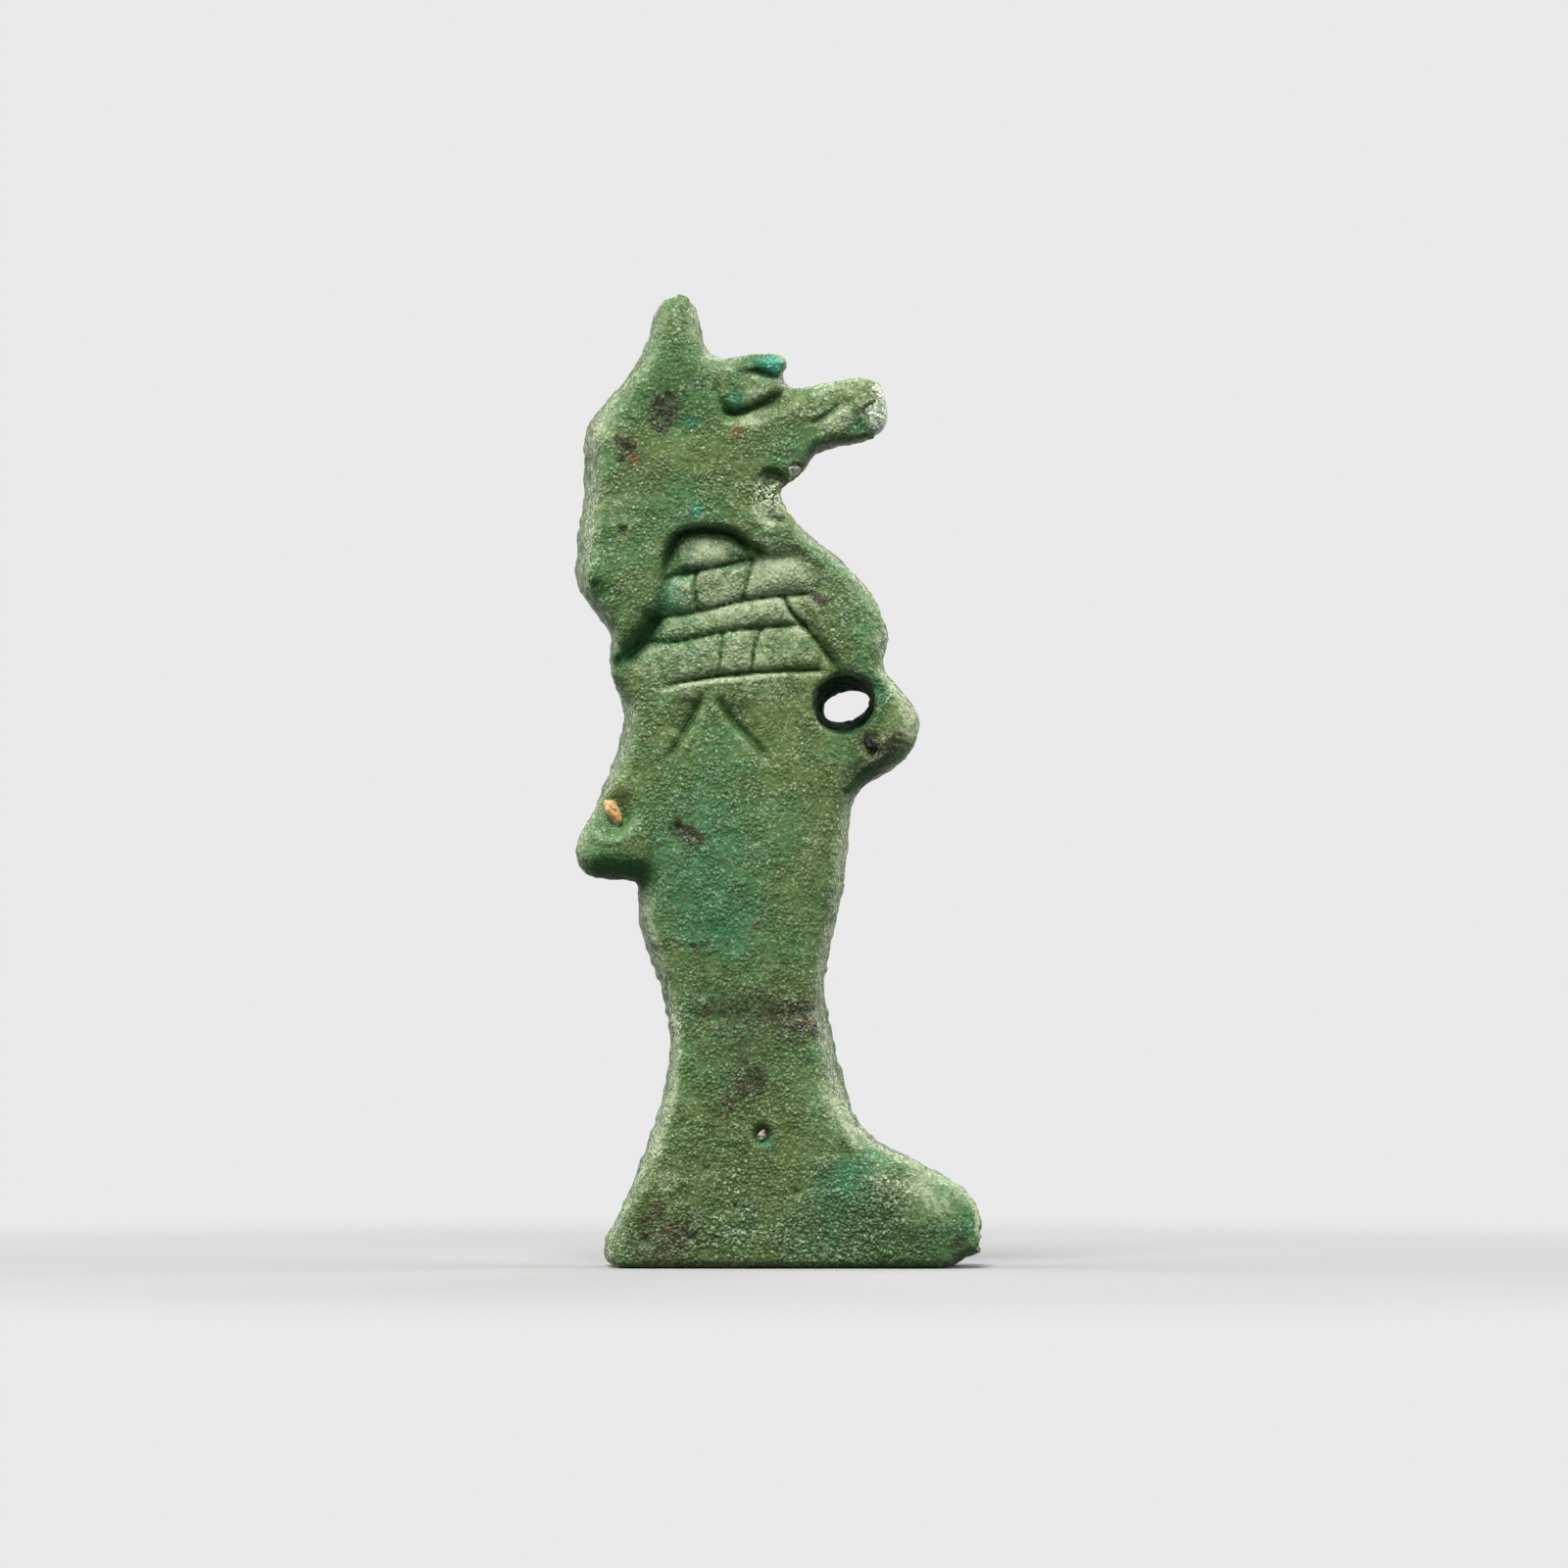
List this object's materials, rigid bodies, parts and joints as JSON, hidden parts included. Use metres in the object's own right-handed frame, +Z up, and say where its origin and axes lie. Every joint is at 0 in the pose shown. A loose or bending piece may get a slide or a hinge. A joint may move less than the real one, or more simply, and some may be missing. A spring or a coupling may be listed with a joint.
{
  "type": "amulet",
  "caption": "Small moulded faience amulet: a mummy-shaped figure with a jackal's head, in profile, flat behind, pierced at the hand and flat-footed.",
  "frame": {"origin": "on the plane of the foot's flat sole, under the middle of the whole object's box", "axes": "+Z up the figure from the sole to the ear, -Y out of the modelled front face, +Y out of the flat back, +X the way the jackal's muzzle points"},
  "size_m": [0.014, 0.0048, 0.033],
  "materials": {
    "quartz_paste": "sintered quartz paste, pale buff and grey-green, sugary and matt",
    "green_glaze": "weathered copper-green alkaline glaze, mottled olive and turquoise, granular, satin",
    "ochre_grain": "orange-brown grain baked into the surface, matt",
    "black_grain": "black grain, slightly glassy",
    "quartz_grain": "pale quartz grain, half sunk in glaze"
  },
  "bodies": {
    "root": {"faience_core": "quartz_paste", "glaze_coat": "green_glaze", "ochre_crumb": "ochre_grain", "dark_grain": "black_grain", "pale_grain": "quartz_grain"}
  },
  "joints": []
}
